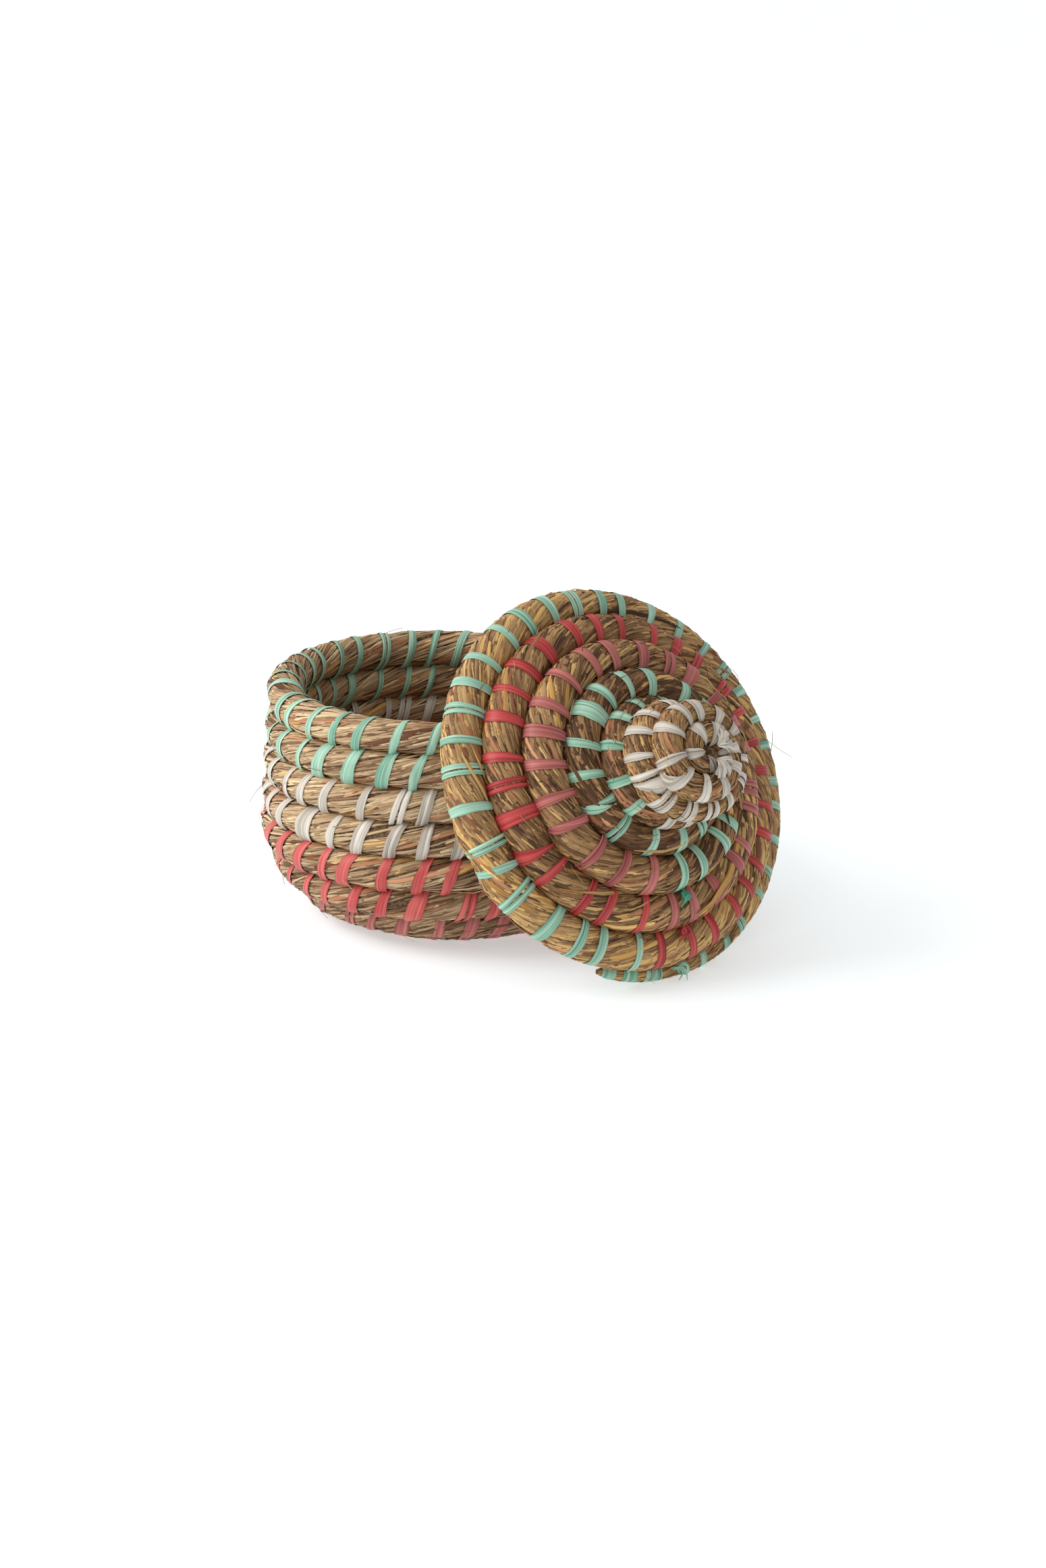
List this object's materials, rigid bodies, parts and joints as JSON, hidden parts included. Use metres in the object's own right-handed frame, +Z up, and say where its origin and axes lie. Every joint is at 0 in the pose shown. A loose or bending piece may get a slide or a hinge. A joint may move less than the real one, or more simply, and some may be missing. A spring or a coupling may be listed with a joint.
{
  "type": "woven lidded box",
  "caption": "Small round coiled grass basket sewn with coloured strips, with its knobbed lid off and leaning beside it.",
  "frame": {"origin": "on the floor, under the middle of the pot and the lid together", "axes": "+Z up, +X to the side where the lid stands, -Y towards the lid's knob side"},
  "size_m": [0.1746, 0.162, 0.1134],
  "materials": {
    "dry_grass": "bundle of dry grass stems",
    "raffia_rose": "flat dyed raffia strip, slightly shiny",
    "raffia_coral": "flat dyed raffia strip, slightly shiny",
    "raffia_white": "flat dyed raffia strip, slightly shiny",
    "raffia_mint": "flat dyed raffia strip, slightly shiny",
    "raffia_red": "flat dyed raffia strip, slightly shiny",
    "raffia_green": "flat dyed raffia strip, slightly shiny"
  },
  "bodies": {
    "pot": {"pot_rope": "dry_grass", "pot_strip_base_inner_rose": "raffia_rose", "pot_strip_base_outer_rose": "raffia_rose", "pot_strip_foot_rose": "raffia_rose", "pot_strip_belly_rose": "raffia_rose", "pot_strip_wall_1_coral": "raffia_coral", "pot_strip_wall_2_coral": "raffia_coral", "pot_strip_wall_3_white": "raffia_white", "pot_strip_wall_4_white": "raffia_white", "pot_strip_wall_5_mint": "raffia_mint", "pot_strip_rim_mint": "raffia_mint"},
    "lid": {"lid_rope": "dry_grass", "lid_strip_knob_top_white": "raffia_white", "lid_strip_knob_middle_white": "raffia_white", "lid_strip_knob_waist_white": "raffia_white", "lid_strip_row_1_mint": "raffia_mint", "lid_strip_row_2_mint": "raffia_mint", "lid_strip_row_3_rose": "raffia_rose", "lid_strip_row_4_red": "raffia_red", "lid_strip_edge_mint": "raffia_mint", "lid_knot_green": "raffia_green", "lid_knot_red": "raffia_red", "lid_knot_mint": "raffia_mint"}
  },
  "joints": [
    {"name": "lid_lift", "type": "slide", "parent": "pot", "child": "lid", "axis": [0, 0, 1], "range_m": [0, 0.11]}
  ]
}
